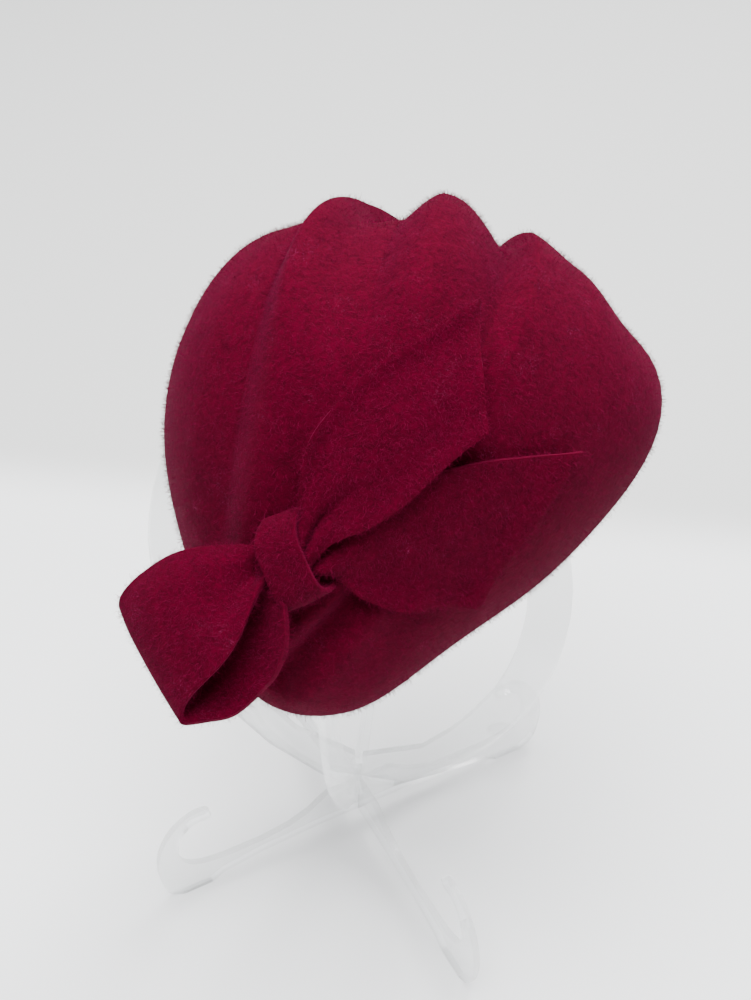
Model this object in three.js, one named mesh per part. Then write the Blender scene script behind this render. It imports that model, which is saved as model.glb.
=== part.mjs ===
// A pleated felt half hat with a bow, set on a clear hat stand. Millimetres, Z up.
import * as THREE from 'three';

const group = new THREE.Group();
group.name = 'half_hat_on_stand';

// Felt
const feltThickness = 2;
const restGap = 0.3;
const feltRed = 0x6b0a28;
const feltRoughness = 0.95;

// Crown, in its own frame: X front to back, Y ear to ear, Z up
const crownHalfLength = 83.6;
const crownHalfSpan = 76.5;
const crownHeight = 83.2;
const surfaceRadius = 87.1;

// How the crown sits on the stand
const crownAside = 10.9;
const crownBack = 11.2;
const crownTiltForward = 27;
const crownTiltAside = -3.7;
const crownTwist = -2;

// The knot of the bow, as a direction from the crown centre
const knotAzimuth = -108;
const knotRise = 30.3;

// Pleats
const pleatHeight = 4.9;
const pleatSpread = 91;
const pleatRun = 167.5;

// Bow
const upperTailLength = 108.4;
const lowerTailLength = 100.7;
const tailHalfWidth = 29;
const upperTailHeading = 32;
const lowerTailHeading = 84;
const tailStandOff = 3.5;
const tailPuff = 2.4;
const tailRootDepth = 2.4;
const loopLength = 61;
const loopWidth = 44;
const loopDepth = 17;
const loopRootAside = 8.6;
const loopRootUp = 5.8;
const loopStandOff = 7;
const loopPuff = 2.4;
const loopRoll = 4;
const loopDimple = 2.6;
const bandLength = 30;
const bandWidth = 14;
const bandAside = -0.75;
const bandUp = 6.15;
const bandHeading = 54;
const bandRise = 12.8;

// Clear stand
const plateThickness = 3;
const balloonLength = 168;
const balloonBreadth = 126;
const balloonTop = 290;
const balloonFoot = 27;
const balloonBandWidth = 17;
const seatReach = 0.85;
const balloonAzimuth = -11;
const footReach = 96;
const longFootReach = 102;
const footHeight = 50;
const footAzimuth = 28;
const clearWhite = 0xf2f5f6;
const clearRoughness = 0.08;

const degrees = Math.PI / 180;
const probe = 0.004;

// Swells of the crown away from a plain dome: direction, reach as a share, spread
const crownSwells = [
  { name: 'back point', azimuth: 5.3, rise: 9, reach: 0.203, spread: 26 },
  { name: 'front', azimuth: 174, rise: 11, reach: -0.053, spread: 34 },
  { name: 'near ear', azimuth: -106.7, rise: -5.5, reach: 0.392, spread: 29 },
];

// The rim: angle round the knot from straight up, and the angle from the knot out to the cut edge
const rimRows = [
  { around: 0, reach: 149.6 },
  { around: 30, reach: 142.2 },
  { around: 60, reach: 121.6 },
  { around: 90, reach: 90.6 },
  { around: 120, reach: 79.9 },
  { around: 150, reach: 56.3 },
  { around: 180, reach: 37.7 },
  { around: 210, reach: 40.6 },
  { around: 240, reach: 50.6 },
  { around: 270, reach: 80.3 },
  { around: 300, reach: 114.1 },
  { around: 330, reach: 141.3 },
];

// Pleats from front to back. Across: share of the spread at four stations from the knot to the far ear;
// lift: share of the pleat height at the same stations; round: 1 is a soft turn, 0 a sharp one.
const pleatStations = [0, 0.364, 0.682, 1];
const pleatRows = [
  { name: 'front slope', across: [-0.95, -1.15, -1.5, -1.9], lift: [0, 0, 0, 0], round: 1 },
  { name: 'front panel', across: [-0.6, -0.73, -1, -1.25], lift: [0, 0, -0.5, -0.5], round: 1 },
  { name: 'first crease', across: [-0.36, -0.45, -0.67, -0.95], lift: [-0.5, -0.5, -0.7, -0.9], round: 0.35 },
  { name: 'first ridge', across: [-0.2, -0.27, -0.49, -0.8], lift: [0.5, 0.6, 0.8, 0.7], round: 1 },
  { name: 'trough', across: [-0.05, -0.06, -0.25, -0.55], lift: [0, -0.1, -0.7, -1], round: 0.8 },
  { name: 'second crease', across: [0.02, 0.04, -0.07, -0.24], lift: [0, -0.2, -0.75, -0.9], round: 0.3 },
  { name: 'second ridge', across: [0.17, 0.18, 0.17, 0.05], lift: [0, 0.2, 1, 1.2], round: 1 },
  { name: 'third crease', across: [0.37, 0.48, 0.62, 0.74], lift: [0, -0.2, -1, -1.1], round: 0.1 },
  { name: 'third ridge', across: [0.53, 0.62, 0.73, 0.86], lift: [0, 0.1, 0.8, 1], round: 1 },
  { name: 'back panel', across: [0.83, 1, 1.15, 1.3], lift: [0, -0.1, -0.5, -0.6], round: 1 },
  { name: 'back slope', across: [1.25, 1.5, 1.7, 1.95], lift: [0, -0.6, -0.9, -0.9], round: 1 },
  { name: 'back end', across: [1.8, 2.05, 2.3, 2.6], lift: [0, 0, 0, 0], round: 1 },
];

// Short folds gathered under the knot, along a line on the crown, shares of the pleat spread and height
const gatherRows = [
  { name: 'deep crease', from: [0.23, -0.1], to: [0, -0.43], lift: -0.65, width: 0.065 },
  { name: 'small pleat', from: [0.1, -0.13], to: [-0.1, -0.4], lift: 0.5, width: 0.08 },
];

function bell(x) {
  return Math.exp(-x * x);
}

function smooth(t) {
  const s = THREE.MathUtils.clamp(t, 0, 1);
  return s * s * (3 - 2 * s);
}

function interpolate(stations, values, t) {
  const last = stations.length - 1;
  const s = THREE.MathUtils.clamp(t, stations[0], stations[last]);
  let i = 0;
  while (i < last - 1 && s > stations[i + 1]) {
    i += 1;
  }
  const span = stations[i + 1] - stations[i];
  const f = (s - stations[i]) / span;
  const slope = (from, to) => (values[to] - values[from]) / (stations[to] - stations[from]);
  const before = slope(Math.max(i - 1, 0), i + 1);
  const after = slope(i, Math.min(i + 2, last));
  const f2 = f * f;
  const f3 = f2 * f;
  return (2 * f3 - 3 * f2 + 1) * values[i] + (f3 - 2 * f2 + f) * span * before
    + (3 * f2 - 2 * f3) * values[i + 1] + (f3 - f2) * span * after;
}

function direction(azimuth, rise) {
  const a = azimuth * degrees;
  const r = rise * degrees;
  return new THREE.Vector3(Math.cos(r) * Math.cos(a), Math.cos(r) * Math.sin(a), Math.sin(r));
}

const knotOut = direction(knotAzimuth, knotRise);
const knotUp = new THREE.Vector3(0, 0, 1).addScaledVector(knotOut, -knotOut.z).normalize();
const knotRight = new THREE.Vector3().crossVectors(knotUp, knotOut);

// Distance from the crown centre to the plain dome in a direction
function domeRadius(n) {
  const plain = 1 / Math.hypot(n.x / crownHalfLength, n.y / crownHalfSpan, n.z / crownHeight);
  let swell = 1;
  for (const row of crownSwells) {
    const away = n.angleTo(direction(row.azimuth, row.rise)) / (row.spread * degrees);
    swell += row.reach * bell(away);
  }
  return plain * swell;
}

// A place on the crown: x to the back and y over the top, measured from the knot along the surface
function overCrown(x, y, lift) {
  const angle = Math.hypot(x, y) / surfaceRadius;
  const around = Math.atan2(x, y);
  const n = knotOut.clone().multiplyScalar(Math.cos(angle));
  n.addScaledVector(knotUp, Math.sin(angle) * Math.cos(around));
  n.addScaledVector(knotRight, Math.sin(angle) * Math.sin(around));
  return n.multiplyScalar(domeRadius(n) + lift);
}

function pleatLift(x, y) {
  const run = y / pleatRun;
  const marks = pleatRows.map((row) => interpolate(pleatStations, row.across, run) * pleatSpread);
  const lifts = pleatRows.map((row) => interpolate(pleatStations, row.lift, run) * pleatHeight);
  let lift = 0;
  for (let i = 0; i < marks.length - 1; i += 1) {
    if (x >= marks[i] && x < marks[i + 1]) {
      const t = (x - marks[i]) / (marks[i + 1] - marks[i]);
      const rise = lifts[i + 1] - lifts[i];
      const t2 = t * t;
      const t3 = t2 * t;
      lift = lifts[i] + (3 * t2 - 2 * t3) * rise
        + (t3 - 2 * t2 + t) * (1 - pleatRows[i].round) * rise
        + (t3 - t2) * (1 - pleatRows[i + 1].round) * rise;
    }
  }
  lift *= smooth((y / pleatRun + 0.12) / 0.14);
  for (const row of gatherRows) {
    const ax = row.from[0] * pleatSpread;
    const ay = row.from[1] * pleatSpread;
    const bx = row.to[0] * pleatSpread;
    const by = row.to[1] * pleatSpread;
    const along = ((x - ax) * (bx - ax) + (y - ay) * (by - ay)) / ((bx - ax) ** 2 + (by - ay) ** 2);
    const t = THREE.MathUtils.clamp(along, 0, 1);
    const away = Math.hypot(x - ax - t * (bx - ax), y - ay - t * (by - ay)) / (row.width * pleatSpread);
    lift += row.lift * pleatHeight * bell(away);
  }
  return lift;
}

function rimReach(around) {
  const step = rimRows[1].around;
  const turn = THREE.MathUtils.euclideanModulo(around, 360);
  const i = Math.floor(turn / step) % rimRows.length;
  const f = turn / step - Math.floor(turn / step);
  const at = (k) => rimRows[(i + k + rimRows.length) % rimRows.length].reach;
  const slopeIn = (at(1) - at(-1)) / 2;
  const slopeOut = (at(2) - at(0)) / 2;
  const f2 = f * f;
  const f3 = f2 * f;
  return (2 * f3 - 3 * f2 + 1) * at(0) + (f3 - 2 * f2 + f) * slopeIn
    + (3 * f2 - 2 * f3) * at(1) + (f3 - f2) * slopeOut;
}

// Outer face of the crown, by the angle round the knot and the share of the way to the rim
function crownFace(around, share) {
  const reach = rimReach(around) * degrees * surfaceRadius * share;
  const x = reach * Math.sin(around * degrees);
  const y = reach * Math.cos(around * degrees);
  return overCrown(x, y, pleatLift(x, y));
}

function normalOf(face, a, b, stepA, stepB) {
  const alongA = face(a + stepA, b).sub(face(a - stepA, b));
  const alongB = face(a, b + stepB).sub(face(a, b - stepB));
  return alongA.cross(alongB).normalize();
}

function solid(name, points, triangles, colour, roughness) {
  const geometry = new THREE.BufferGeometry();
  const numbers = points.flatMap((point) => [point.x, point.y, point.z]);
  geometry.setAttribute('position', new THREE.Float32BufferAttribute(numbers, 3));
  geometry.setIndex(triangles.flat());
  geometry.computeVertexNormals();
  const material = new THREE.MeshStandardMaterial({ color: colour, roughness, metalness: 0 });
  const mesh = new THREE.Mesh(geometry, material);
  mesh.name = name;
  return mesh;
}

const hat = new THREE.Group();
hat.name = 'hat';
hat.rotation.set(crownTiltForward * degrees, crownTiltAside * degrees, crownTwist * degrees);
group.add(hat);

// Crown: a shell between the outer face and the same face set in by the felt
const pleatedSector = 62;
const sectorColumns = [7, 6, 6, 4, 6, 8, 6, 9];
const plainColumns = 26;
const crownRows = 20;
const foldMarks = pleatRows.slice(2, -3);

// Columns run along the creases and ridges once they are clear of the knot
function columnAngles(share) {
  const reach = rimReach(0) * degrees * surfaceRadius * share;
  const blend = smooth((share - 0.26) / 0.2);
  const count = sectorColumns.reduce((sum, n) => sum + n, 0);
  const edges = [-pleatedSector];
  let passed = 0;
  foldMarks.forEach((row, i) => {
    passed += sectorColumns[i];
    const even = -pleatedSector + 2 * pleatedSector * passed / count;
    let angle = even * degrees;
    for (let k = 0; k < 12; k += 1) {
      const out = rimReach(angle / degrees) * degrees * surfaceRadius * share;
      const run = out * Math.cos(angle) / pleatRun;
      const mark = interpolate(pleatStations, row.across, run) * pleatSpread;
      angle = (angle + Math.asin(THREE.MathUtils.clamp(mark / out, -0.84, 0.84))) / 2;
    }
    edges.push(THREE.MathUtils.lerp(even, angle / degrees, blend));
  });
  edges.push(pleatedSector);
  const angles = [];
  sectorColumns.forEach((n, i) => {
    for (let k = 0; k < n; k += 1) {
      angles.push(edges[i] + (edges[i + 1] - edges[i]) * k / n);
    }
  });
  for (let k = 0; k < plainColumns; k += 1) {
    angles.push(pleatedSector + (360 - 2 * pleatedSector) * k / plainColumns);
  }
  return angles;
}

const crownPoints = [];
const crownTriangles = [];
const knotPoint = crownFace(0, 0);
for (const inner of [0, 1]) {
  crownPoints.push(knotPoint.clone().addScaledVector(knotOut, -inner * feltThickness));
  for (let r = 1; r <= crownRows; r += 1) {
    const share = r / crownRows;
    for (const around of columnAngles(share)) {
      const point = crownFace(around, share);
      const out = normalOf(crownFace, around, share, 100 * probe, probe);
      const facing = out.dot(point) < 0 ? -1 : 1;
      crownPoints.push(point.addScaledVector(out, -facing * inner * feltThickness));
    }
  }
}
const columnCount = columnAngles(1).length;
const layerSize = 1 + crownRows * columnCount;
const crownIndex = (inner, r, j) => inner * layerSize + 1 + (r - 1) * columnCount + (j % columnCount);
for (const inner of [0, 1]) {
  const face = (a, b, c) => crownTriangles.push(inner ? [a, b, c] : [a, c, b]);
  for (let j = 0; j < columnCount; j += 1) {
    face(inner * layerSize, crownIndex(inner, 1, j), crownIndex(inner, 1, j + 1));
    for (let r = 1; r < crownRows; r += 1) {
      const a = crownIndex(inner, r, j);
      const b = crownIndex(inner, r + 1, j);
      const c = crownIndex(inner, r + 1, j + 1);
      const d = crownIndex(inner, r, j + 1);
      face(a, b, c);
      face(a, c, d);
    }
  }
}
for (let j = 0; j < columnCount; j += 1) {
  const a = crownIndex(0, crownRows, j);
  const b = crownIndex(0, crownRows, j + 1);
  const c = crownIndex(1, crownRows, j + 1);
  const d = crownIndex(1, crownRows, j);
  crownTriangles.push([a, b, c]);
  crownTriangles.push([a, c, d]);
}
hat.add(solid('crown', crownPoints, crownTriangles, feltRed, feltRoughness));

// A closed felt sheet on both sides of a middle face given by two shares
function feltSheet(name, middle, rows, columns) {
  const points = [];
  const triangles = [];
  for (const side of [1, -1]) {
    for (let i = 0; i <= rows; i += 1) {
      for (let j = 0; j <= columns; j += 1) {
        const out = normalOf(middle, i / rows, j / columns, probe, probe);
        points.push(middle(i / rows, j / columns).addScaledVector(out, side * feltThickness / 2));
      }
    }
  }
  const sideSize = (rows + 1) * (columns + 1);
  const at = (side, i, j) => side * sideSize + i * (columns + 1) + j;
  for (let i = 0; i < rows; i += 1) {
    for (let j = 0; j < columns; j += 1) {
      triangles.push([at(0, i, j), at(0, i + 1, j), at(0, i + 1, j + 1)]);
      triangles.push([at(0, i, j), at(0, i + 1, j + 1), at(0, i, j + 1)]);
      triangles.push([at(1, i, j), at(1, i + 1, j + 1), at(1, i + 1, j)]);
      triangles.push([at(1, i, j), at(1, i, j + 1), at(1, i + 1, j + 1)]);
    }
  }
  const edge = [];
  for (let i = 0; i < rows; i += 1) {
    edge.push([[i, 0], [i + 1, 0]]);
    edge.push([[i + 1, columns], [i, columns]]);
  }
  for (let j = 0; j < columns; j += 1) {
    edge.push([[rows, j], [rows, j + 1]]);
    edge.push([[0, j + 1], [0, j]]);
  }
  for (const [[i0, j0], [i1, j1]] of edge) {
    triangles.push([at(0, i0, j0), at(1, i0, j0), at(1, i1, j1)]);
    triangles.push([at(0, i0, j0), at(1, i1, j1), at(0, i1, j1)]);
  }
  return solid(name, points, triangles, feltRed, feltRoughness);
}

// The highest pleat under a place, so that a stiff tail bridges the creases
function bridgedLift(x, y) {
  let lift = 0;
  for (const aside of [-10, -5, 0, 5, 10]) {
    lift = Math.max(lift, pleatLift(x + aside, y));
  }
  return lift;
}

// Tails of the bow: left and right edge as shares of the tail length and half width, from knot to cut end
const tailStations = [0, 0.16, 0.32, 0.48, 0.64, 0.82, 1];
const upperTailEdges = {
  leftAlong: [0.06, 0.17, 0.3, 0.43, 0.58, 0.77, 0.955],
  leftAcross: [0.13, 0.5, 0.86, 0.98, 0.98, 0.82, 0.63],
  rightAlong: [0.03, 0.15, 0.27, 0.38, 0.475, 0.58, 0.68],
  rightAcross: [-0.1, -0.07, -0.25, -0.35, -0.38, -0.43, -0.5],
};
const lowerTailEdges = {
  leftAlong: [0.06, 0.15, 0.27, 0.4, 0.58, 0.77, 0.97],
  leftAcross: [0.11, 0.45, 0.87, 1.17, 1.32, 1.3, 1.2],
  rightAlong: [0.09, 0.16, 0.225, 0.32, 0.415, 0.51, 0.6],
  rightAcross: [0.02, -0.12, -0.3, -0.47, -0.57, -0.68, -0.77],
};

function tailPlace(edges, length, heading, s, t) {
  const leftAlong = interpolate(tailStations, edges.leftAlong, s) * length;
  const leftAcross = interpolate(tailStations, edges.leftAcross, s) * tailHalfWidth;
  const rightAlong = interpolate(tailStations, edges.rightAlong, s) * length;
  const rightAcross = interpolate(tailStations, edges.rightAcross, s) * tailHalfWidth;
  const p = THREE.MathUtils.lerp(leftAlong, rightAlong, t);
  const q = THREE.MathUtils.lerp(leftAcross, rightAcross, t);
  const sine = Math.sin(heading * degrees);
  const cosine = Math.cos(heading * degrees);
  return [p * sine - q * cosine, p * cosine + q * sine];
}

function lowerTailMiddle(s, t) {
  const [x, y] = tailPlace(lowerTailEdges, lowerTailLength, lowerTailHeading, s, t);
  const swell = tailPuff * Math.sin(Math.PI * THREE.MathUtils.clamp(t, 0, 1)) * bell((s - 0.2) / 0.14);
  return overCrown(x, y, bridgedLift(x, y) + feltThickness / 2 + 2 * restGap + swell);
}

function upperTailMiddle(s, t) {
  const [x, y] = tailPlace(upperTailEdges, upperTailLength, upperTailHeading, s, t);
  const near = bell(s / 0.3);
  const fold = -tailRootDepth * bell((t - 0.5 - 0.4 * s) / 0.13) * near;
  const swell = tailPuff * (bell((t - 0.22) / 0.2) + 0.5 * bell((t - 0.82) / 0.14)) * near;
  const overLower = tailStandOff * (0.25 + (0.75 + 0.2 * near) * smooth(t / 0.6));
  return overCrown(x, y, bridgedLift(x, y) + feltThickness / 2 + overLower + swell + fold);
}
hat.add(feltSheet('upper_tail', upperTailMiddle, 18, 12));
hat.add(feltSheet('lower_tail', lowerTailMiddle, 16, 12));

// Loop of the bow, along a frame that hangs out from the knot: down and to the front, across, and inward.
// Upper and lower edge as shares of the loop length and half width, deep as a share of the loop depth.
const knotFrame = (right, up, out) => knotRight.clone().multiplyScalar(right)
  .addScaledVector(knotUp, up).addScaledVector(knotOut, out).normalize();
const loopOut = knotFrame(-0.47, -0.62, 0.387);
const loopAcross = knotFrame(0.757, -0.413, 0.507);
const loopIn = knotFrame(0.374, -0.364, -0.855);
const loopStart = knotPoint.clone().addScaledVector(knotRight, -loopRootAside)
  .addScaledVector(knotUp, loopRootUp).addScaledVector(knotOut, loopStandOff);
const loopRows = {
  station: [0, 0.1, 0.2, 0.3, 0.4, 0.46, 0.5, 0.54, 0.62, 0.72, 0.82, 0.92, 1],
  upperAlong: [0.02, 0.15, 0.322, 0.488, 0.71, 0.858, 0.917, 0.858, 0.68, 0.503, 0.325, 0.16, 0.03],
  upperAcross: [-0.17, -0.41, -0.74, -0.95, -1.06, -1.04, -0.92, -0.84, -0.79, -0.71, -0.6, -0.4, -0.24],
  lowerAlong: [0, 0.165, 0.334, 0.488, 0.71, 0.845, 0.9, 0.83, 0.72, 0.54, 0.37, 0.19, 0.04],
  lowerAcross: [0.2, 0.24, 0.54, 0.67, 0.74, 0.86, 1, 1.16, 1.26, 1.3, 1.16, 0.66, 0.24],
  deep: [0, -0.1, -0.2, -0.2, -0.1, 0.04, 0.2, 0.38, 0.58, 0.62, 0.5, 0.3, 0.16],
};

function loopMiddle(s, t) {
  const column = (name) => interpolate(loopRows.station, loopRows[name], s);
  const along = THREE.MathUtils.lerp(column('upperAlong'), column('lowerAlong'), t) * loopLength;
  const across = THREE.MathUtils.lerp(column('upperAcross'), column('lowerAcross'), t) * loopWidth / 2;
  const middle = 1 - (2 * t - 1) ** 2;
  const front = smooth((0.56 - s) / 0.2);
  const puff = loopPuff * middle * (1 - 2 * front) * smooth(Math.min(s, 1 - s) / 0.2);
  const roll = loopRoll * Math.max(0, 1 - t / 0.3) ** 2 * front * smooth(s / 0.15);
  const dimple = loopDimple * bell((t - 0.62) / 0.25) * bell((s - 0.1) / 0.12);
  const deep = column('deep') * loopDepth + puff + roll + dimple;
  const bulge = 0.025 * loopLength * middle * bell((s - 0.5) / 0.06);
  return loopStart.clone().addScaledVector(loopOut, along + bulge)
    .addScaledVector(loopIn, deep).addScaledVector(loopAcross, across);
}
hat.add(feltSheet('bow_loop', loopMiddle, 32, 9));

// Band over the gathered middle of the bow
function bandMiddle(s, t) {
  const u = 2 * s - 1;
  const reach = u * bandLength / 2;
  const wide = (t - 0.5) * bandWidth;
  const cosine = Math.cos(bandHeading * degrees);
  const sine = Math.sin(bandHeading * degrees);
  const x = bandAside + reach * cosine + wide * sine;
  const y = bandUp - reach * sine + wide * cosine;
  const arch = bandRise * Math.max(0, 1 - Math.abs(u) ** 4) ** 0.7;
  return overCrown(x, y, pleatLift(x, y) + feltThickness / 2 + restGap + arch);
}
hat.add(feltSheet('knot_band', bandMiddle, 20, 4));

// Upright bands of the clear stand: half width by height, as shares of the widest half and the height
const balloonRows = {
  height: [0, 0.04, 0.13, 0.27, 0.44, 0.58, 0.7, 0.8, 0.88, 0.94, 0.98, 1],
  half: [0.19, 0.4, 0.66, 0.9, 1, 0.95, 0.82, 0.66, 0.5, 0.35, 0.2, 0],
};
const balloonSteps = 26;

function balloonHalf(share, widest) {
  return interpolate(balloonRows.height, balloonRows.half, share) * widest;
}

// Right-hand edge of a band from the foot up, set in from the outline and kept off the axis
function balloonSide(widest, inset) {
  const height = balloonTop - balloonFoot;
  const side = [];
  for (let i = 0; i <= balloonSteps; i += 1) {
    const share = 1 - (1 - i / balloonSteps) ** 1.6;
    const below = Math.max(share - probe, 0);
    const above = Math.min(share + probe, 1);
    const widening = balloonHalf(above, widest) - balloonHalf(below, widest);
    const along = new THREE.Vector2(widening, (above - below) * height).normalize();
    const point = new THREE.Vector2(balloonHalf(share, widest), balloonFoot + share * height);
    point.x -= inset * along.y;
    point.y += inset * along.x;
    side.push(point);
  }
  return side;
}

// A closed outline from its right-hand side, with a notch at the bottom or the top of the axis
function mirroredOutline(side, bottom, top, notchBottom, notchTop) {
  const notch = plateThickness / 2 + restGap;
  const clearOfNotch = side.filter((point) => point.x > notch + restGap);
  const right = clearOfNotch.filter((point) => point.y > bottom - 0.01 && point.y < top + 0.01);
  const points = [];
  if (notchBottom === undefined) {
    points.push(new THREE.Vector2(0, bottom));
  } else {
    points.push(new THREE.Vector2(notch, notchBottom), new THREE.Vector2(notch, bottom));
  }
  points.push(...right);
  if (notchTop === undefined) {
    points.push(new THREE.Vector2(0, top));
  } else {
    points.push(new THREE.Vector2(notch, top), new THREE.Vector2(notch, notchTop));
  }
  const left = points.filter((point) => point.x > 0).map((point) => new THREE.Vector2(-point.x, point.y));
  return points.concat(left.reverse());
}

function uprightPlate(name, outline, hole, azimuth) {
  const shape = new THREE.Shape(outline);
  if (hole) {
    shape.holes.push(new THREE.Path(hole));
  }
  const geometry = new THREE.ExtrudeGeometry(shape, { depth: plateThickness, bevelEnabled: false });
  geometry.translate(0, 0, -plateThickness / 2);
  geometry.rotateX(90 * degrees);
  const material = new THREE.MeshStandardMaterial({ color: clearWhite, roughness: clearRoughness, metalness: 0 });
  material.transparent = true;
  material.opacity = 0.25;
  const plate = new THREE.Mesh(geometry, material);
  plate.name = name;
  plate.rotation.z = azimuth * degrees;
  group.add(plate);
}

const bandMiddleTop = balloonTop - balloonBandWidth / 2;
const bandMiddleFoot = balloonFoot + balloonBandWidth / 2;
const halfGap = restGap / 2;
const innerFoot = balloonFoot + balloonBandWidth;
const innerTop = balloonTop - balloonBandWidth;
const lengthwiseBand = {
  outer: balloonSide(balloonLength / 2, 0),
  inner: balloonSide(balloonLength / 2, balloonBandWidth),
};
const crosswiseBand = {
  outer: balloonSide(balloonBreadth / 2, 0),
  inner: balloonSide(balloonBreadth / 2, balloonBandWidth),
};
uprightPlate(
  'balloon_band_a',
  mirroredOutline(lengthwiseBand.outer, balloonFoot, balloonTop, undefined, bandMiddleTop - halfGap),
  mirroredOutline(lengthwiseBand.inner, innerFoot, innerTop, bandMiddleFoot - halfGap, undefined),
  balloonAzimuth,
);
uprightPlate(
  'balloon_band_b',
  mirroredOutline(crosswiseBand.outer, balloonFoot, balloonTop, bandMiddleFoot + halfGap, undefined),
  mirroredOutline(crosswiseBand.inner, innerFoot, innerTop, undefined, bandMiddleTop + halfGap),
  balloonAzimuth + 90,
);

// Scroll-footed plates: right-hand outline, shares of the foot reach and height
const footUnder = [[0.22, 0.16], [0.5, 0.13], [0.7, 0.07], [0.76, 0], [0.9, 0]];
const footScroll = [
  [0.97, 0.1], [1, 0.38], [0.98, 0.66], [0.91, 0.88], [0.81, 0.99], [0.74, 0.97],
  [0.74, 0.88], [0.82, 0.87], [0.88, 0.75], [0.9, 0.56], [0.87, 0.4], [0.79, 0.31], [0.68, 0.28],
];
const footLeg = [[0.5, 0.28], [0.36, 0.32], [0.26, 0.4]];
const hubHalf = balloonRows.half[0] * balloonLength / 2;
const hubTop = balloonFoot - restGap;
const hubBottom = 0.16 * footHeight;
const hubMiddle = (hubTop + hubBottom) / 2;

function footSide(reach) {
  const place = ([out, up]) => new THREE.Vector2(out * reach, up * footHeight);
  const curl = new THREE.SplineCurve([footUnder[footUnder.length - 1], ...footScroll].map(place));
  const under = footUnder.slice(0, -1).map(place);
  const leg = footLeg.map(place);
  return [...under, ...curl.getPoints(36), ...leg, new THREE.Vector2(hubHalf, hubTop)];
}

function footOutline(reach, notchBottom, notchTop) {
  const notch = plateThickness / 2 + restGap;
  const right = [];
  if (notchBottom) {
    right.push(new THREE.Vector2(notch, hubMiddle + halfGap), new THREE.Vector2(notch, hubBottom));
  }
  right.push(...footSide(reach));
  if (notchTop) {
    right.push(new THREE.Vector2(notch, hubTop), new THREE.Vector2(notch, hubMiddle - halfGap));
  }
  return right.concat(right.map((point) => new THREE.Vector2(-point.x, point.y)).reverse());
}

uprightPlate('foot_plate_a', footOutline(footReach, false, true), null, footAzimuth);
uprightPlate('foot_plate_b', footOutline(longFootReach, true, false), null, footAzimuth + 90);

// Height of a band's outer edge over a point inside it, measured out from the axis
function bandHeight(widest, out) {
  const waist = (balloonFoot + balloonTop) / 2;
  const side = balloonSide(widest, 0).filter((point) => point.y > waist);
  side.push(new THREE.Vector2(0, balloonTop));
  side.reverse();
  return interpolate(side.map((point) => point.x), side.map((point) => point.y), Math.abs(out));
}

// Let the hat down until the inside of its crown rests on the bands
function seatHeight() {
  hat.position.set(crownAside, crownBack, 0);
  hat.updateMatrixWorld(true);
  const placed = crownPoints.map((point) => point.clone().applyMatrix4(hat.matrixWorld));
  const spans = [];
  for (let j = 0; j < columnCount; j += 1) {
    for (let r = 1; r < crownRows; r += 1) {
      spans.push([crownIndex(1, r, j), crownIndex(1, r + 1, j)]);
      spans.push([crownIndex(1, r, j), crownIndex(1, r + 1, j + 1)]);
    }
    spans.push([crownIndex(0, crownRows, j), crownIndex(0, crownRows, j + 1)]);
    spans.push([crownIndex(1, crownRows, j), crownIndex(0, crownRows, j + 1)]);
  }
  let seat = -Infinity;
  const bands = [[balloonAzimuth, balloonLength / 2], [balloonAzimuth + 90, balloonBreadth / 2]];
  for (const [azimuth, widest] of bands) {
    const along = direction(azimuth, 0);
    const beside = direction(azimuth + 90, 0);
    for (const [from, to] of spans) {
      for (let k = 0; k <= 8; k += 1) {
        const point = placed[from].clone().lerp(placed[to], k / 8);
        const out = Math.abs(point.dot(along));
        if (Math.abs(point.dot(beside)) < plateThickness && out < seatReach * widest) {
          seat = Math.max(seat, bandHeight(widest, out) + restGap - point.z);
        }
      }
    }
  }
  return seat;
}
hat.position.set(crownAside, crownBack, seatHeight());

// Stand the whole on the ground with the middle of its box over the origin
group.updateMatrixWorld(true);
const box = new THREE.Box3().setFromObject(group, true);
group.position.set(-(box.min.x + box.max.x) / 2, -(box.min.y + box.max.y) / 2, -box.min.z);

export default group;
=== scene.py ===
"""A pleated wool felt half hat with a bow, set on a clear hat stand. Metres, Z up."""

import math
import random

import bmesh
import bpy
from mathutils import Matrix, Vector


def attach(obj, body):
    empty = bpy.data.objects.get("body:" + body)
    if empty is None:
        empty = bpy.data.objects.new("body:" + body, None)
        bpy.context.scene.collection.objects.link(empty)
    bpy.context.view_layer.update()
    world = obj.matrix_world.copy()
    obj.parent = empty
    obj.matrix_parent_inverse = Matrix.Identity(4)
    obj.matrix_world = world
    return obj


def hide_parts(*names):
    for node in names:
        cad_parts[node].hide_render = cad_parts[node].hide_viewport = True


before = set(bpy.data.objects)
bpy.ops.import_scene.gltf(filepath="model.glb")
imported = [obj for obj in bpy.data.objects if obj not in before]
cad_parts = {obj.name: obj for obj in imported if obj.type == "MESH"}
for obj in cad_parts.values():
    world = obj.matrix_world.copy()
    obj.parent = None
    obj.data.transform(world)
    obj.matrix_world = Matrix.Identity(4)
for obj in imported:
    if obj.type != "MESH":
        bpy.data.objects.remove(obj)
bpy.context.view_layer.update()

# View: down on the side with the bow, from a little over arm's height in front of it.
# The lens is an ordinary one, tilted down without any roll.
camera_data = bpy.data.cameras.new("camera")
camera_data.lens = 50
camera_data.sensor_width = 36
camera = bpy.data.objects.new("camera", camera_data)
camera.location = (-0.00342, -0.39047, 0.521)
camera.rotation_euler = (math.radians(50), 0, 0)
bpy.context.scene.collection.objects.link(camera)
bpy.context.scene.camera = camera

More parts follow.
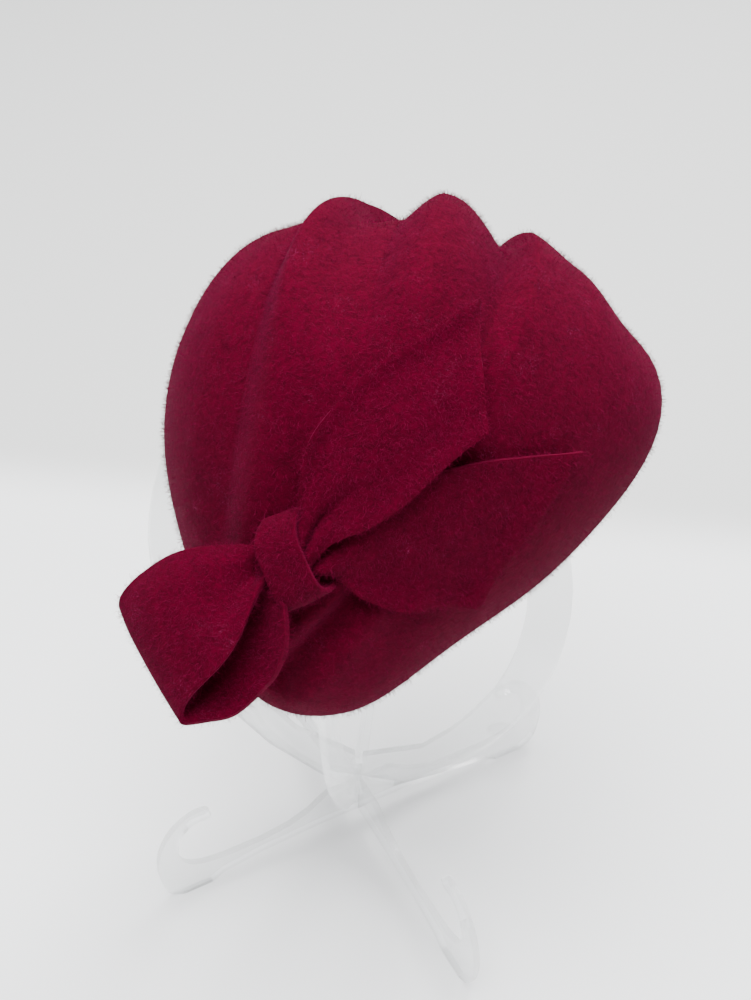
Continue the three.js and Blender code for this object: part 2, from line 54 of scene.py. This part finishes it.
# Crown: one piece of wool felt, blocked to the head and steamed into pleats that run from the knot
# over to the far ear. Its edge is cut clean and left unbound. The felt is 2 mm thick.
FELT_THICK = 2.0
CROWN_HALF_LENGTH = 83.6
CROWN_HALF_SPAN = 76.5
CROWN_HEIGHT = 83.2
SURFACE_RADIUS = 87.1
CROWN_PLACE = (-0.0168, 16.3277, 216.0781)
CROWN_TURN = (27, -3.7, -2)
KNOT_AZIMUTH = -108
KNOT_RISE = 30.3
PLEAT_HEIGHT = 4.9
PLEAT_SPREAD = 91
PLEAT_RUN = 167.5
PLEAT_FADE_START = 0.12
PLEAT_FADE = 0.14

# Swells of the crown away from a plain dome: azimuth, rise, reach as a share, spread
crown_swells = [
    (5.3, 9, 0.203, 26),
    (174, 11, -0.053, 34),
    (-106.7, -5.5, 0.392, 29),
]

# The rim, every 30 degrees round the knot from straight up: angle from the knot to the cut edge
rim_reach_table = [149.6, 142.2, 122.6, 92, 80.2, 57.3, 39.6, 41.2, 50.6, 80.3, 114.1, 141.3]

# Pleats from front to back: share of the spread at four stations, share of the height, roundness
pleat_stations = [0, 0.364, 0.682, 1]
pleat_rows = {
    "front slope": ([-0.95, -1.15, -1.5, -1.9], [0, 0.1, 0.5, 0.4], 1),
    "front panel": ([-0.6, -0.73, -1, -1.25], [0, 0, -0.25, -0.3], 1),
    "first crease": ([-0.36, -0.45, -0.67, -0.95], [-0.5, -0.5, -0.6, -0.8], 0.35),
    "first ridge": ([-0.2, -0.27, -0.55, -0.9], [0.5, 0.6, 0.8, 0.7], 1),
    "trough": ([-0.05, -0.06, -0.29, -0.64], [0, -0.2, -1, -1.5], 0.8),
    "second crease": ([0.02, 0.04, -0.07, -0.24], [0, -0.4, -1, -1.05], 0.15),
    "second ridge": ([0.17, 0.18, 0.17, 0.05], [0, 0.2, 1, 1.2], 1),
    "third crease": ([0.37, 0.48, 0.63, 0.76], [0, -0.5, -1.2, -1.5], 0.1),
    "third ridge": ([0.53, 0.62, 0.73, 0.86], [0, 0.1, 0.8, 1], 1),
    "back panel": ([0.83, 1, 1.15, 1.3], [0, 0.1, 0.4, 0.6], 1),
    "back slope": ([1.25, 1.5, 1.7, 1.95], [0, -0.3, -1.15, -1.3], 1),
    "back end": ([1.8, 2.05, 2.3, 2.6], [0, 0, 0, 0], 1),
}

# Short folds gathered under the knot, and the swell of the felt below them: from, to, share of the
# pleat height, width. Places and widths are shares of the spread.
gather_rows = {
    "deep crease": ((0.23, -0.1), (0, -0.43), -1.25, 0.05),
    "small pleat": ((0.1, -0.13), (-0.1, -0.4), 0.8, 0.07),
    "crease bank": ((0.3, -0.14), (0.08, -0.46), 0.45, 0.07),
    "lower swell": ((-0.02, -0.68), (0.22, -0.64), 0.6, 0.2),
}


def clamp(value, low, high):
    return max(low, min(high, value))


def bell(x):
    return math.exp(-x * x)


def smooth(t):
    s = clamp(t, 0, 1)
    return s * s * (3 - 2 * s)


def interpolate(stations, values, t):
    """A smooth curve through the values at the stations."""
    last = len(stations) - 1
    s = clamp(t, stations[0], stations[last])
    i = 0
    while i < last - 1 and s > stations[i + 1]:
        i += 1
    low, high = max(i - 1, 0), min(i + 2, last)
    span = stations[i + 1] - stations[i]
    f = (s - stations[i]) / span
    before = (values[i + 1] - values[low]) / (stations[i + 1] - stations[low])
    after = (values[high] - values[i]) / (stations[high] - stations[i])
    f2, f3 = f * f, f * f * f
    start = (2 * f3 - 3 * f2 + 1) * values[i] + (f3 - 2 * f2 + f) * span * before
    return start + (3 * f2 - 2 * f3) * values[i + 1] + (f3 - f2) * span * after


def direction(azimuth, rise):
    a, r = math.radians(azimuth), math.radians(rise)
    return Vector((math.cos(r) * math.cos(a), math.cos(r) * math.sin(a), math.sin(r)))


knot_out = direction(KNOT_AZIMUTH, KNOT_RISE)
knot_up = (Vector((0, 0, 1)) - knot_out * knot_out.z).normalized()
knot_right = knot_up.cross(knot_out)
swell_directions = [direction(azimuth, rise) for azimuth, rise, reach, spread in crown_swells]


def dome_radius(n):
    plain = 1 / math.hypot(n.x / CROWN_HALF_LENGTH, n.y / CROWN_HALF_SPAN, n.z / CROWN_HEIGHT)
    swell = 1
    for facing, (azimuth, rise, reach, spread) in zip(swell_directions, crown_swells):
        away = math.degrees(math.acos(clamp(n.dot(facing), -1, 1))) / spread
        swell += reach * bell(away)
    return plain * swell


def over_crown(x, y, lift):
    """A place on the crown: x to the back and y over the top from the knot, along the surface."""
    angle = math.hypot(x, y) / SURFACE_RADIUS
    around = math.atan2(x, y)
    n = knot_out * math.cos(angle)
    n += knot_up * (math.sin(angle) * math.cos(around))
    n += knot_right * (math.sin(angle) * math.sin(around))
    return n * (dome_radius(n) + lift)


def pleat_lift(x, y):
    """How far the pleats and folds stand above the dome at a place."""
    run = y / PLEAT_RUN
    rows = list(pleat_rows.values())
    marks = [interpolate(pleat_stations, across, run) * PLEAT_SPREAD for across, lift, turn in rows]
    lift = 0
    for i in range(len(rows) - 1):
        if marks[i] <= x < marks[i + 1]:
            low = interpolate(pleat_stations, rows[i][1], run) * PLEAT_HEIGHT
            high = interpolate(pleat_stations, rows[i + 1][1], run) * PLEAT_HEIGHT
            t = (x - marks[i]) / (marks[i + 1] - marks[i])
            leave = (t**3 - 2 * t**2 + t) * (1 - rows[i][2])
            arrive = (t**3 - t**2) * (1 - rows[i + 1][2])
            lift = low + (3 * t**2 - 2 * t**3 + leave + arrive) * (high - low)
    lift *= smooth((run + PLEAT_FADE_START) / PLEAT_FADE)
    for start, end, share, width in gather_rows.values():
        a = Vector(start) * PLEAT_SPREAD
        b = Vector(end) * PLEAT_SPREAD
        t = clamp((Vector((x, y)) - a).dot(b - a) / (b - a).length_squared, 0, 1)
        away = (Vector((x, y)) - a - t * (b - a)).length / (width * PLEAT_SPREAD)
        lift += share * PLEAT_HEIGHT * bell(away)
    return lift


def rim_reach(around):
    count = len(rim_reach_table)
    turn = (around % 360) / (360 / count)
    stations = [-1, 0, 1, 2]
    i = int(turn)
    return interpolate(stations, [rim_reach_table[(i + k) % count] for k in stations], turn - i)


def in_part(point):
    """From the crown's own frame in millimetres to the part's frame in metres."""
    turn = Matrix.Identity(3)
    for angle, axis in zip(CROWN_TURN, "XYZ"):
        turn = turn @ Matrix.Rotation(math.radians(angle), 3, axis)
    return (turn @ point + Vector(CROWN_PLACE)) / 1000


def crown_face(around, share):
    reach = math.radians(rim_reach(around)) * SURFACE_RADIUS * share
    x = reach * math.sin(math.radians(around))
    y = reach * math.cos(math.radians(around))
    return over_crown(x, y, pleat_lift(x, y))


PLEATED_SECTOR = 62
sector_columns = [32, 28, 28, 20, 28, 36, 28, 40]
PLAIN_COLUMNS = 84
CROWN_ROWS = 116
FOLLOW_START = 0.26
FOLLOW_BLEND = 0.2
SETTLING_STEPS = 12
LARGEST_SINE = 0.84


def column_angles(share):
    """Columns that run along the creases and ridges once they are clear of the knot."""
    blend = smooth((share - FOLLOW_START) / FOLLOW_BLEND)
    edges = [-PLEATED_SECTOR]
    passed = 0
    folds = list(pleat_rows.values())[2:-3]
    for row, columns in zip(folds, sector_columns):
        passed += columns
        even = -PLEATED_SECTOR + 2 * PLEATED_SECTOR * passed / sum(sector_columns)
        angle = math.radians(even)
        for _ in range(SETTLING_STEPS):
            out = max(math.radians(rim_reach(math.degrees(angle))) * SURFACE_RADIUS * share, 1e-6)
            mark = interpolate(pleat_stations, row[0], out * math.cos(angle) / PLEAT_RUN)
            sine = clamp(mark * PLEAT_SPREAD / out, -LARGEST_SINE, LARGEST_SINE)
            angle = (angle + math.asin(sine)) / 2
        edges.append(even + (math.degrees(angle) - even) * blend)
    edges.append(PLEATED_SECTOR)
    angles = []
    for i, columns in enumerate(sector_columns):
        angles += [edges[i] + (edges[i + 1] - edges[i]) * k / columns for k in range(columns)]
    rest = 360 - 2 * PLEATED_SECTOR
    angles += [PLEATED_SECTOR + rest * k / PLAIN_COLUMNS for k in range(PLAIN_COLUMNS)]
    return angles + [360 - PLEATED_SECTOR]


class Shade:
    """A socket of a material; arithmetic on it adds Math nodes."""

    def __init__(self, tree, out):
        self.tree = tree
        self.out = out

    def maths(self, operation, a, b):
        return node(self.tree, "ShaderNodeMath", {"operation": operation}, {0: a, 1: b})

    def __add__(self, other):
        return self.maths("ADD", self, other)

    def __sub__(self, other):
        return self.maths("SUBTRACT", self, other)

    def __rsub__(self, other):
        return self.maths("SUBTRACT", other, self)

    def __mul__(self, other):
        return self.maths("MULTIPLY", self, other)

    __radd__ = __add__
    __rmul__ = __mul__


def node(tree, kind, settings, sockets, out=0):
    """One node with its settings and the values or links of its sockets."""
    made = tree.nodes.new(kind)
    for name, value in settings.items():
        setattr(made, name, value)
    for name, value in sockets.items():
        if isinstance(value, Shade):
            tree.links.new(value.out, made.inputs[name])
        else:
            made.inputs[name].default_value = value
    return Shade(tree, made.outputs[out])


def new_material(name, **constants):
    """A material with its shader's own sockets set: the tree, and the shader node."""
    material = bpy.data.materials.new(name)
    material.use_nodes = True
    shader = material.node_tree.nodes["Principled BSDF"]
    for socket, value in constants.items():
        shader.inputs[socket.replace("_", " ")].default_value = value
    return material, material.node_tree, shader


def felt_material(name, deep, light, pale):
    """Wool felt: mottled colour, a matted nap, and stray fibres that catch the light."""
    material, tree, shader = new_material(
        name,
        Roughness=0.92,
        Specular_IOR_Level=0.04,
        Sheen_Weight=0.06,
        Sheen_Roughness=0.45,
        Sheen_Tint=(1, 0.06, 0.35, 1),
    )
    place = node(tree, "ShaderNodeTexCoord", {}, {}, "Object")

    def cloud(scale, detail, distortion=0.0):
        sockets = {"Vector": place, "Scale": scale, "Detail": detail, "Distortion": distortion}
        return node(tree, "ShaderNodeTexNoise", {}, sockets)

    def spread(value, low, high):
        sockets = {"Value": value, "From Min": low, "From Max": high}
        return node(tree, "ShaderNodeMapRange", {"clamp": True}, sockets)

    mottle = spread(cloud(150, 4), 0.3, 0.7)
    matted = spread(cloud(620, 5, 0.6), 0.3, 0.7)
    grain = spread(cloud(2400, 3, 1.2), 0.25, 0.75)
    tone = mottle * 0.18 + matted * 0.37 + grain * 0.45
    wool = node(
        tree,
        "ShaderNodeMix",
        {"data_type": "RGBA"},
        {"Factor": tone, "A": deep, "B": light},
        "Result",
    )
    line = node(tree, "ShaderNodeMath", {"operation": "ABSOLUTE"}, {0: cloud(210, 2, 2.6) - 0.5})
    thread = spread(line, 0.006, 0.0015) * spread(cloud(90, 2), 0.56, 0.68)
    colour = node(
        tree,
        "ShaderNodeMix",
        {"data_type": "RGBA"},
        {"Factor": thread * 0.45, "A": wool, "B": pale},
        "Result",
    )
    height = matted * 0.55 + grain * 0.35 + mottle * 0.4 + thread * 0.25
    bump = node(
        tree,
        "ShaderNodeBump",
        {},
        {"Strength": 0.55, "Distance": 0.0005, "Height": height},
    )
    tree.links.new(colour.out, shader.inputs["Base Color"])
    tree.links.new((0.86 + 0.1 * grain).out, shader.inputs["Roughness"])
    tree.links.new(bump.out, shader.inputs["Normal"])
    return material


felt = felt_material(
    "wine_wool_felt",
    deep=(0.021, 0.0, 0.003, 1),
    light=(0.099, 0.0, 0.013, 1),
    pale=(0.34, 0.04, 0.14, 1),
)
# Paler felt for the cut edges: a painted highlight standing in for the light the cut edges catch.
cut_edge_highlight_felt = felt_material(
    "cut_wool_felt_painted_highlight",
    deep=(0.035, 0.0, 0.005, 1),
    light=(0.125, 0.001, 0.019, 1),
    pale=(0.34, 0.04, 0.14, 1),
)


def placed_grid(rows, columns, place):
    """A grid whose points are placed by row and column, with its seam and pole closed."""
    mesh = bmesh.new()
    bmesh.ops.create_grid(mesh, x_segments=rows, y_segments=columns, size=0.5)
    for vertex in mesh.verts:
        row = round((vertex.co.x + 0.5) * rows)
        column = round((vertex.co.y + 0.5) * columns)
        vertex.co = place(row, column)
    bmesh.ops.remove_doubles(mesh, verts=mesh.verts, dist=1e-6)
    bmesh.ops.recalc_face_normals(mesh, faces=mesh.faces)
    for face in mesh.faces:
        face.smooth = True
    return mesh


CUT_ROUNDING = 0.00045
CUT_ANGLE = 65


def felt_piece(name, mesh, offset):
    """A felt wall round a surface, with its cut edges a little rounded and painted paler as a
    highlight.
    """
    data = bpy.data.meshes.new(name)
    mesh.to_mesh(data)
    mesh.free()
    data.materials.append(felt)
    data.materials.append(cut_edge_highlight_felt)
    piece = bpy.data.objects.new(name, data)
    bpy.context.scene.collection.objects.link(piece)
    wall = piece.modifiers.new("wall", "SOLIDIFY")
    wall.thickness = FELT_THICK / 1000
    wall.offset = offset
    # The rims take the paler felt, which is a painted edge highlight.
    wall.material_offset_rim = 1
    rounding = piece.modifiers.new("cut edge", "BEVEL")
    rounding.width = CUT_ROUNDING
    rounding.segments = 2
    rounding.limit_method = "ANGLE"
    rounding.angle_limit = math.radians(CUT_ANGLE)
    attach(piece, "root")
    return piece


crown_columns = [column_angles(max(row, 1) / CROWN_ROWS) for row in range(CROWN_ROWS + 1)]
crown_mesh = placed_grid(
    CROWN_ROWS,
    len(crown_columns[0]) - 1,
    lambda row, column: in_part(crown_face(crown_columns[row][column], row / CROWN_ROWS)),
)
crown = felt_piece("crown_felt", crown_mesh, offset=-1)
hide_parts("crown")

# Tails of the bow: two flat leaves of the same felt, cut on the slant, one laid over the other.
# They are gathered at the band and lie back over the pleats without following their creases.
TAIL_HALF_WIDTH = 29
UPPER_TAIL_LENGTH = 108.4
LOWER_TAIL_LENGTH = 100.7
UPPER_TAIL_HEADING = 32
LOWER_TAIL_HEADING = 84
TAIL_STAND_OFF = 3.5
TAIL_PUFF = 2.4
TAIL_ROOT_DEPTH = 4.2
ROOT_RISE = 5
EDGE_CURL = 2.3
REST_GAP = 0.3

# Left and right edge as shares of the tail length and half width, from the knot to the cut end
tail_stations = [0, 0.16, 0.32, 0.48, 0.64, 0.82, 1]
upper_tail_edges = {
    "left along": [0.06, 0.17, 0.3, 0.43, 0.58, 0.77, 0.955],
    "left across": [0.13, 0.5, 0.86, 0.98, 0.98, 0.82, 0.63],
    "right along": [0.03, 0.15, 0.27, 0.38, 0.475, 0.58, 0.68],
    "right across": [-0.1, -0.07, -0.25, -0.35, -0.38, -0.43, -0.5],
}
lower_tail_edges = {
    "left along": [0.06, 0.15, 0.27, 0.4, 0.58, 0.77, 0.97],
    "left across": [0.11, 0.45, 0.87, 1.17, 1.32, 1.3, 1.2],
    "right along": [0.09, 0.16, 0.225, 0.32, 0.415, 0.51, 0.6],
    "right across": [0.02, -0.12, -0.3, -0.47, -0.57, -0.68, -0.77],
}


bridge_asides = [-10, -5, 0, 5, 10]


def bridged_lift(x, y):
    """The highest pleat under a place, so that a stiff tail bridges the creases."""
    return max([0] + [pleat_lift(x + aside, y) for aside in bridge_asides])


def tail_place(edges, length, heading, s, t):
    left = interpolate(tail_stations, edges["left along"], s) * length
    right = interpolate(tail_stations, edges["right along"], s) * length
    left_across = interpolate(tail_stations, edges["left across"], s) * TAIL_HALF_WIDTH
    right_across = interpolate(tail_stations, edges["right across"], s) * TAIL_HALF_WIDTH
    p = left + (right - left) * t
    q = left_across + (right_across - left_across) * t
    sine, cosine = math.sin(math.radians(heading)), math.cos(math.radians(heading))
    return p * sine - q * cosine, p * cosine + q * sine


def root_rise(s, t):
    """The rise of a tail's gathered end to the band."""
    return ROOT_RISE * math.sin(math.pi * clamp(t, 0.04, 0.96)) * bell(s / 0.12)


def lower_tail_face(s, t):
    x, y = tail_place(lower_tail_edges, LOWER_TAIL_LENGTH, LOWER_TAIL_HEADING, s, t)
    swell = TAIL_PUFF * math.sin(math.pi * t) * bell((s - 0.2) / 0.14)
    swell += root_rise(s, t)
    swell += EDGE_CURL * (bell((1 - s) / 0.1) + 0.7 * bell((1 - t) / 0.12) * smooth(s / 0.3))
    return over_crown(x, y, bridged_lift(x, y) + FELT_THICK / 2 + 2 * REST_GAP + swell)


def upper_tail_face(s, t):
    x, y = tail_place(upper_tail_edges, UPPER_TAIL_LENGTH, UPPER_TAIL_HEADING, s, t)
    near = bell(s / 0.3)
    fold = -TAIL_ROOT_DEPTH * bell((t - 0.5 - 0.4 * s) / 0.11) * near
    fold += root_rise(s, t)
    swell = TAIL_PUFF * (bell((t - 0.22) / 0.2) + 0.5 * bell((t - 0.82) / 0.14)) * near
    over_lower = TAIL_STAND_OFF * (0.25 + (0.75 + 0.2 * near) * smooth(t / 0.6))
    swell += 1.2 * EDGE_CURL * bell((1 - s) / 0.1)
    swell += 0.8 * EDGE_CURL * (bell(t / 0.1) + bell((1 - t) / 0.12)) * smooth(s / 0.3)
    return over_crown(x, y, bridged_lift(x, y) + FELT_THICK / 2 + over_lower + swell + fold)


def felt_sheet(name, face, rows, columns):
    """A felt piece of even thickness on both sides of its middle surface."""

    def place(row, column):
        return in_part(face(row / rows, column / columns))

    return felt_piece(name, placed_grid(rows, columns, place), offset=0)


upper_tail = felt_sheet("upper_tail_felt", upper_tail_face, rows=90, columns=60)
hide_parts("upper_tail")
lower_tail = felt_sheet("lower_tail_felt", lower_tail_face, rows=80, columns=60)
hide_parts("lower_tail")

# Loop of the bow: one strip of felt folded back on itself, open at the bottom, with a rolled
# upper edge. Both of its ends are gathered under the band.
LOOP_LENGTH = 61
LOOP_WIDTH = 44
LOOP_DEPTH = 17
LOOP_ROOT_ASIDE = 8.6
LOOP_ROOT_UP = 5.8
LOOP_STAND_OFF = 7
LOOP_PUFF = 2.4
LOOP_ROLL = 4
LOOP_DIMPLE = 5


def knot_frame(right, up, out):
    return (knot_right * right + knot_up * up + knot_out * out).normalized()


loop_out = knot_frame(-0.47, -0.62, 0.387)
loop_across = knot_frame(0.757, -0.413, 0.507)
loop_in = knot_frame(0.374, -0.364, -0.855)
loop_start = over_crown(0, 0, pleat_lift(0, 0)) - LOOP_ROOT_ASIDE * knot_right
loop_start += LOOP_ROOT_UP * knot_up + LOOP_STAND_OFF * knot_out

# Upper and lower edge as shares of the loop length and half width, deep as a share of the depth
loop_rows = {
    "station": [0, 0.1, 0.2, 0.3, 0.4, 0.46, 0.5, 0.54, 0.62, 0.72, 0.82, 0.92, 1],
    "upper along": [
        0.02, 0.15, 0.322, 0.488, 0.71, 0.858, 0.917, 0.858, 0.68, 0.503, 0.325, 0.16, 0.03,
    ],
    "upper across": [
        -0.17, -0.41, -0.74, -0.95, -1.06, -1.04, -0.92, -0.84, -0.79, -0.71, -0.6, -0.4, -0.24,
    ],
    "lower along": [0, 0.165, 0.334, 0.488, 0.71, 0.845, 0.9, 0.83, 0.72, 0.54, 0.37, 0.19, 0.04],
    "lower across": [0.2, 0.44, 0.76, 0.88, 0.9, 0.95, 1.08, 1.22, 1.38, 1.38, 1.34, 1.1, 0.5],
    "deep": [0, -0.1, -0.2, -0.2, -0.1, 0.04, 0.2, 0.38, 0.58, 0.62, 0.5, 0.3, 0.16],
}


def loop_face(s, t):
    column = {name: interpolate(loop_rows["station"], loop_rows[name], s) for name in loop_rows}
    along = column["upper along"] + (column["lower along"] - column["upper along"]) * t
    across = column["upper across"] + (column["lower across"] - column["upper across"]) * t
    middle = 1 - (2 * t - 1) ** 2
    front = smooth((0.56 - s) / 0.2)
    puff = LOOP_PUFF * middle * (1 - 2 * front) * smooth(min(s, 1 - s) / 0.2)
    roll = LOOP_ROLL * max(0, 1 - t / 0.3) ** 2 * front * smooth(s / 0.15)
    dimple = LOOP_DIMPLE * bell((t - 0.62) / 0.25) * bell((s - 0.1) / 0.12)
    deep = column["deep"] * LOOP_DEPTH + puff + roll + dimple
    along = (along + 0.025 * middle * bell((s - 0.5) / 0.06)) * LOOP_LENGTH
    return loop_start + loop_out * along + loop_in * deep + loop_across * (across * LOOP_WIDTH / 2)


bow_loop = felt_sheet("bow_loop_felt", loop_face, rows=150, columns=50)
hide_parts("bow_loop")

# Band of the knot: a short strip of felt wrapped over the gathered middle of the bow, with both
# ends turned under and stitched to the crown.
BAND_LENGTH = 27
BAND_WIDTH = 13.4
BAND_ASIDE = 0.1
BAND_UP = 4.4
BAND_HEADING = 54
BAND_RISE = 11.6


def band_face(s, t):
    u = 2 * s - 1
    reach = u * BAND_LENGTH / 2
    wide = (t - 0.5) * BAND_WIDTH
    cosine, sine = math.cos(math.radians(BAND_HEADING)), math.sin(math.radians(BAND_HEADING))
    x = BAND_ASIDE + reach * cosine + wide * sine
    y = BAND_UP - reach * sine + wide * cosine
    arch = BAND_RISE * max(0, 1 - abs(u) ** 4) ** 0.7
    return over_crown(x, y, pleat_lift(x, y) + FELT_THICK / 2 + REST_GAP + arch)


knot_band = felt_sheet("knot_band_felt", band_face, rows=60, columns=20)
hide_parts("knot_band")

# Nap: loose ends of wool that stand off the felt all over and soften its outline. They are part of
# the matted cloth itself, brushed up in wear. The width is half a fibre's. The rises, the bends and
# the place of the middle are shares of its length.
NAP_WIDTH = 0.00004
NAP_LENGTHS = (0.0007, 0.0022)
NAP_RISES = (0.15, 1.0)
NAP_BENDS = (-0.5, 0.5)
NAP_TIP_RISES = (0.6, 1.5)
NAP_MIDDLE = 0.55
NAP_TAPER = (1, 0.8, 0.3)


def nap_on(name, piece, count, seed, colour):
    """Fine bent ribbons rooted on the faces of a piece, more of them where it has more surface."""
    picked = random.Random(seed)
    shaped = piece.evaluated_get(bpy.context.evaluated_depsgraph_get())
    surface = shaped.to_mesh()
    surface.calc_loop_triangles()
    corners = [vertex.co.copy() for vertex in surface.vertices]
    faces = [(tri.vertices[:], tri.normal.copy(), tri.area) for tri in surface.loop_triangles]
    shaped.to_mesh_clear()
    points, ribbons = [], []
    for ring, normal, area in picked.choices(faces, weights=[face[2] for face in faces], k=count):
        a, b, c = (corners[i] for i in ring)
        u, v = sorted((picked.random(), picked.random()))
        root = a * u + b * (v - u) + c * (1 - v)
        along = Vector((picked.gauss(0, 1), picked.gauss(0, 1), picked.gauss(0, 1)))
        along = (along - normal * along.dot(normal)).normalized()
        aside = normal.cross(along)
        length = picked.uniform(*NAP_LENGTHS)
        rise = length * picked.uniform(*NAP_RISES)
        bend = length * picked.uniform(*NAP_BENDS)
        middle = root + along * length * NAP_MIDDLE + normal * rise
        tip = root + along * length + aside * bend + normal * rise * picked.uniform(*NAP_TIP_RISES)
        start = len(points)
        for place, taper in zip((root, middle, tip), NAP_TAPER):
            half = NAP_WIDTH * taper
            points += [place - aside * half, place + aside * half]
        ribbons += [(k, k + 1, k + 3, k + 2) for k in (start, start + 2)]
    data = bpy.data.meshes.new(name)
    data.from_pydata(points, [], ribbons)
    data.materials.append(colour)
    nap = bpy.data.objects.new(name, data)
    bpy.context.scene.collection.objects.link(nap)
    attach(nap, "root")


nap_wool, nap_tree, nap_shader = new_material(
    "loose_wool",
    Roughness=1.0,
    Specular_IOR_Level=0.05,
)
nap_place = node(nap_tree, "ShaderNodeTexCoord", {}, {}, "Object")
nap_cloud = node(
    nap_tree,
    "ShaderNodeTexNoise",
    {},
    {"Vector": nap_place, "Scale": 700, "Detail": 2},
)
nap_colour = node(
    nap_tree,
    "ShaderNodeMix",
    {"data_type": "RGBA"},
    {"Factor": nap_cloud, "A": (0.04, 0.0, 0.006, 1), "B": (0.18, 0.004, 0.038, 1)},
    "Result",
)
nap_tree.links.new(nap_colour.out, nap_shader.inputs["Base Color"])
nap_counts = [
    ("crown_nap", crown, 46000),
    ("crown_fine_nap", crown, 46000),
    ("upper_tail_nap", upper_tail, 11000),
    ("lower_tail_nap", lower_tail, 11000),
    ("bow_loop_nap", bow_loop, 16000),
    ("knot_band_nap", knot_band, 3000),
]
for number, (name, piece, count) in enumerate(nap_counts):
    nap_on(name, piece, count, number, nap_wool)

# Clear stand: two oval bands of 3 mm clear acrylic slotted across each other, over two plates with
# scroll feet. The cut faces are polished, with a few faint rub marks from use.
clear, clear_tree, clear_shader = new_material(
    "clear_acrylic",
    Base_Color=(0.95, 0.97, 0.975, 1),
    Roughness=0.06,
    IOR=1.49,
    Transmission_Weight=1.0,
    Alpha=0.4,
)
clear_place = node(clear_tree, "ShaderNodeTexCoord", {}, {}, "Object")
rubs = node(
    clear_tree,
    "ShaderNodeTexNoise",
    {},
    {"Vector": clear_place, "Scale": 90, "Detail": 5, "Distortion": 1.5},
)
clear_tree.links.new((0.03 + 0.08 * rubs).out, clear_shader.inputs["Roughness"])
for name in ("balloon_band_a", "balloon_band_b", "foot_plate_a", "foot_plate_b"):
    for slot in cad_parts[name].material_slots:
        slot.material = clear

# Studio: a white table top whose far edge melts into a pale grey wall, under soft light.
# The light comes from a window behind and above, from a broad ceiling light, and from the white
# room all round.
FLOOR_SIZE = 6
TABLE_EDGE = (0.19, 0.26)
TABLE_SLANT = 0.14
floor_mesh = bmesh.new()
bmesh.ops.create_grid(floor_mesh, x_segments=1, y_segments=1, size=FLOOR_SIZE)
floor_data = bpy.data.meshes.new("floor")
floor_mesh.to_mesh(floor_data)
floor_mesh.free()
floor = bpy.data.objects.new("floor", floor_data)
bpy.context.scene.collection.objects.link(floor)
white, white_tree, white_shader = new_material("white_table", Roughness=0.7)
floor_place = node(white_tree, "ShaderNodeTexCoord", {}, {}, "Object")
floor_split = white_tree.nodes.new("ShaderNodeSeparateXYZ")
white_tree.links.new(floor_place.out, floor_split.inputs[0])
across_floor = Shade(white_tree, floor_split.outputs["X"])
along_floor = Shade(white_tree, floor_split.outputs["Y"])
beyond = node(
    white_tree,
    "ShaderNodeMapRange",
    {"interpolation_type": "SMOOTHERSTEP"},
    {
        "Value": along_floor + TABLE_SLANT * across_floor,
        "From Min": TABLE_EDGE[0],
        "From Max": TABLE_EDGE[1],
    },
)
tone = node(
    white_tree,
    "ShaderNodeMix",
    {"data_type": "RGBA"},
    {"Factor": beyond, "A": (0.93, 0.94, 0.95, 1), "B": (0.64, 0.645, 0.64, 1)},
    "Result",
)
white_tree.links.new(tone.out, white_shader.inputs["Base Color"])
floor_data.materials.append(white)

world = bpy.data.worlds.new("room")
world.use_nodes = True
world.node_tree.nodes["Background"].inputs["Color"].default_value = (0.93, 0.95, 0.97, 1)
world.node_tree.nodes["Background"].inputs["Strength"].default_value = 0.5
bpy.context.scene.world = world


def soft_light(name, place, target, size, watts):
    data = bpy.data.lights.new(name, "AREA")
    data.shape = "DISK"
    data.size = size
    data.energy = watts
    lamp = bpy.data.objects.new(name, data)
    lamp.location = place
    lamp.rotation_mode = "QUATERNION"
    lamp.rotation_quaternion = (Vector(target) - Vector(place)).to_track_quat("-Z", "Y")
    bpy.context.scene.collection.objects.link(lamp)


soft_light("window", (0.7, 1.2, 1.7), (0, 0, 0.2), size=1.1, watts=48)
soft_light("ceiling", (-0.1, -0.15, 2.1), (0, 0, 0.2), size=1.8, watts=118)
